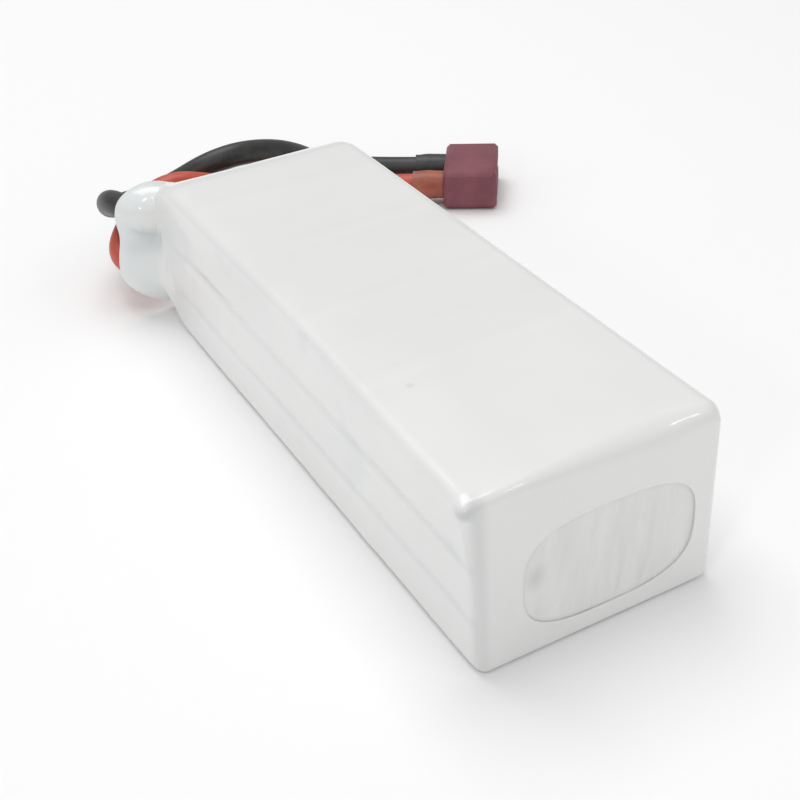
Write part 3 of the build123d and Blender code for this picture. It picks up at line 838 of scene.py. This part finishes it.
def make_end_tape():
    """Hazy tape over the foam, swelling into the opening and slack enough to wrinkle."""
    left, right, bottom, top = TAPE_SIZE
    across = np.linspace(left, right, round((right - left) / TAPE_STEP))
    upward = np.linspace(bottom, top, round((top - bottom) / TAPE_STEP / 2))
    x, z = np.meshgrid(across, upward)
    lean = x - WRINKLE_LEAN * (z - bottom)
    ripple = np.empty_like(x)
    for row in range(x.shape[0]):
        for column in range(x.shape[1]):
            spot = Vector((lean[row, column] / WRINKLE_SPACING, z[row, column] / WRINKLE_LENGTH, 0.3))
            ripple[row, column] = noise.noise(spot) + 0.4 * noise.noise(spot * 2.6)
    open_x = np.abs(2 * x - OPENING[0] - OPENING[1]) / (OPENING[1] - OPENING[0])
    open_z = np.abs(2 * z - OPENING[2] - OPENING[3]) / (OPENING[3] - OPENING[2])
    reach = open_x**OPENING_FULLNESS + open_z**OPENING_FULLNESS
    inside = 1 - smooth_step(reach, 0.8, 1.3)
    free = 1 - smooth_step(reach, 0.7, 1.02)
    dent = bump(np.hypot(x - TAPE_DENT[0], z - TAPE_DENT[1]), DENT_SIZE)
    y = PLAIN_END + TAPE_DEPTH - TAPE_BULGE * inside - free * (WRINKLE_HEIGHT * ripple - DENT_DEPTH * dent)
    tape = sheet_of_rings("wrinkled_end_tape", np.stack((x, y, z), axis=-1), closed=False)
    give_wall(tape, TAPE_THICKNESS)
    settle(tape, 60)
    paint(tape, clear_tape)
    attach(tape, "root")
    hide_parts("end_tape")


make_end_tape()

# --- Connector ----------------------------------------------------------------------------------

# Where the middle of the connector's rear face lies, in metres, and which way it points
PLUG_REAR = Vector((0.0485, 0.0698, 0.0039))
PLUG_YAW = radians(-33.8)
# Millimetres, in the connector's own frame: x from its rear face to its mating face, y across, z up
PLUG_LENGTH = 10.7
PLUG_WIDTH = 15.8
PLUG_THICKNESS = 7.8
BLADE_PITCH = 8.4
SLOT_WIDTH = 6.7
SLOT_HEIGHT = 2.3
SLOT_DEPTH = 9.2
# The openings behind the slots for the contacts' solder tabs: their length, width and height
TAB_OPENING = (4.0, 3.46, 1.06)
TAB_THICKNESS = 1.0
CHAMFER = 0.7
EDGE_ROUNDING = 0.16
TUBING_LENGTH = 6.2
TUBING_RADIUS = 2.85
TUBING_WALL = 0.45
# Room between the tubing and the connector
TUBING_GAP = 0.1


def into_plug_frame(piece):
    """Turns and moves a piece modelled along x from the origin to where the connector lies."""
    make_active(piece)
    piece.rotation_euler = (0.0, 0.0, PLUG_YAW)
    piece.location = PLUG_REAR


def add_block(centre, size):
    """A plain block, its middle and size in millimetres."""
    deselect_everything()
    bpy.ops.mesh.primitive_cube_add(size=1.0, location=Vector(centre) * MM)
    block = bpy.context.active_object
    block.scale = Vector(size) * MM
    bpy.ops.object.transform_apply(location=True, rotation=True, scale=True)
    return block


def cut_away(piece, cutter):
    cut = piece.modifiers.new("cut", "BOOLEAN")
    cut.operation = "DIFFERENCE"
    cut.object = cutter
    apply_modifiers(piece)
    bpy.data.objects.remove(cutter)


def make_plug_housing():
    """A chamfered nylon block with soft moulded edges and two slots that make a T."""
    housing = add_block((PLUG_LENGTH / 2, 0.0, 0.0), (PLUG_LENGTH, PLUG_WIDTH, PLUG_THICKNESS))
    housing.name = "plug_body"
    chamfer = housing.modifiers.new("chamfer", "BEVEL")
    chamfer.width = CHAMFER * MM
    chamfer.segments = 1
    apply_modifiers(housing)
    slot_middle = PLUG_LENGTH - SLOT_DEPTH / 2 + 0.5
    tab_shift = -(SLOT_HEIGHT - TAB_THICKNESS) / 2
    tab_length, tab_width, tab_height = TAB_OPENING
    slot_y = BLADE_PITCH / 2
    cut_away(housing, add_block((slot_middle, -slot_y, 0.0), (SLOT_DEPTH + 1.0, SLOT_HEIGHT, SLOT_WIDTH)))
    cut_away(housing, add_block((0.0, -slot_y + tab_shift, 0.0), (tab_length, tab_height, tab_width)))
    cut_away(housing, add_block((slot_middle, slot_y, 0.0), (SLOT_DEPTH + 1.0, SLOT_WIDTH, SLOT_HEIGHT)))
    cut_away(housing, add_block((0.0, slot_y, tab_shift), (tab_length, tab_width, tab_height)))
    edges = housing.modifiers.new("moulded_edges", "BEVEL")
    edges.width = EDGE_ROUNDING * MM
    edges.segments = 2
    edges.limit_method = "ANGLE"
    edges.angle_limit = radians(30)
    apply_modifiers(housing)
    into_plug_frame(housing)
    settle(housing, 35)
    paint(housing, plug_nylon)
    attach(housing, "root")
    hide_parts("plug_housing")
    return housing


def make_tubing(name, side, node_name, finish, seed):
    """Tubing shrunk over a lead's joint: tight on the lead, fuller over the solder, ragged at its end."""
    stations = np.linspace(-TUBING_LENGTH - TUBING_GAP, -TUBING_GAP, 30)
    turns = np.linspace(0.0, 2 * pi, 48, endpoint=False)
    rings = []
    for station in stations:
        share = (station + TUBING_LENGTH + TUBING_GAP) / TUBING_LENGTH
        tight = TUBING_RADIUS - 0.16 * (1 - smooth_step(share, 0.05, 0.45)) + 0.02
        ring = []
        for turn in turns:
            spot = Vector((station * 0.5, cos(turn) * 1.3 + seed, sin(turn) * 1.3))
            radius = tight + 0.07 * noise.noise(spot) + 0.025 * noise.noise(spot * 3.0)
            flat = 1.0 - 0.04 * smooth_step(share, 0.5, 1.0)
            ragged = 0.12 * noise.noise(Vector((seed, cos(turn), sin(turn)))) * (1 - share)
            across = side * BLADE_PITCH / 2 + radius * cos(turn)
            ring.append((station + ragged, across, radius * flat * sin(turn)))
        rings.append(ring)
    tubing = sheet_of_rings(name, np.array(rings), closed=True)
    give_wall(tubing, TUBING_WALL)
    into_plug_frame(tubing)
    settle(tubing, 50)
    paint(tubing, finish)
    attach(tubing, "root")
    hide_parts(node_name)
    return tubing


plug_body = make_plug_housing()
red_tube = make_tubing("red_tubing", -1, "red_plug_sleeve", red_tubing, 2.0)
black_tube = make_tubing("black_tubing", 1, "black_plug_sleeve", black_tubing, 5.0)

# --- Pieces kept from the CAD model -------------------------------------------------------------

for subpart in frame["record"]["subparts"]:
    paint(frame["nodes"][subpart["node"]], FINISHES[subpart["material_slot"]])

# --- Floor and light ----------------------------------------------------------------------------

# A hair below the block's underside
FLOOR_HEIGHT = -0.0002
FLOOR_SIZE = 6.0
STUDIO_MIDDLE = (0.0, 0.0, 0.01)
# Four small lamps, two high and two low, in front and to the left
LAMP_DISTANCE = 0.9
LAMP_ELEVATIONS = (30, 62)
LAMP_AZIMUTHS = (34, 71)
LAMP_SIZE = 0.11
LAMP_POWER = 0.41


def make_floor():
    deselect_everything()
    bpy.ops.mesh.primitive_plane_add(size=FLOOR_SIZE, location=(0.0, 0.0, FLOOR_HEIGHT))
    floor = bpy.context.active_object
    floor.name = "floor"
    finish = Finish("floor")
    cloud = finish.noise(0.4, 2.0)
    tone = finish.blend(cloud, (0.93, 0.93, 0.93), (0.95, 0.95, 0.95))
    finish.set(Base_Color=tone, Roughness=0.9, Specular_IOR_Level=0.1)
    paint(floor, finish)


def add_soft_light(name, place, size, power):
    """A rectangular lamp, turned to the middle of the studio."""
    light_data = bpy.data.lights.new(name, "AREA")
    light_data.shape = "RECTANGLE"
    light_data.size, light_data.size_y = size
    light_data.energy = power
    light = bpy.data.objects.new(name, light_data)
    light.location = place
    light.rotation_euler = (Vector(STUDIO_MIDDLE) - Vector(place)).to_track_quat("-Z", "Y").to_euler()
    bpy.context.scene.collection.objects.link(light)


def light_the_studio():
    world = bpy.data.worlds.new("studio")
    world.use_nodes = True
    background = world.node_tree.nodes["Background"]
    background.inputs["Color"].default_value = (1.0, 1.0, 1.0, 1.0)
    background.inputs["Strength"].default_value = 0.48
    bpy.context.scene.world = world
    bpy.context.scene.view_settings.view_transform = "Standard"
    add_soft_light("overhead_softbox", (0.0, 0.35, 0.9), (0.7, 0.7), 4.4)
    add_soft_light("left_softbox", (-0.85, 0.2, 0.35), (0.5, 0.4), 0.25)
    add_soft_light("front_softbox", (0.3, -0.6, 0.6), (0.6, 0.5), 0.12)
    add_soft_light("edge_strip", (0.32, -0.47, 0.60), (0.05, 0.10), 0.12)
    for elevation in (radians(angle) for angle in LAMP_ELEVATIONS):
        for azimuth in (radians(angle) for angle in LAMP_AZIMUTHS):
            reach = LAMP_DISTANCE * cos(elevation)
            lamp = (-reach * cos(azimuth), -reach * sin(azimuth), LAMP_DISTANCE * sin(elevation))
            add_soft_light("lamp", lamp, (LAMP_SIZE, LAMP_SIZE), LAMP_POWER)


make_floor()
light_the_studio()
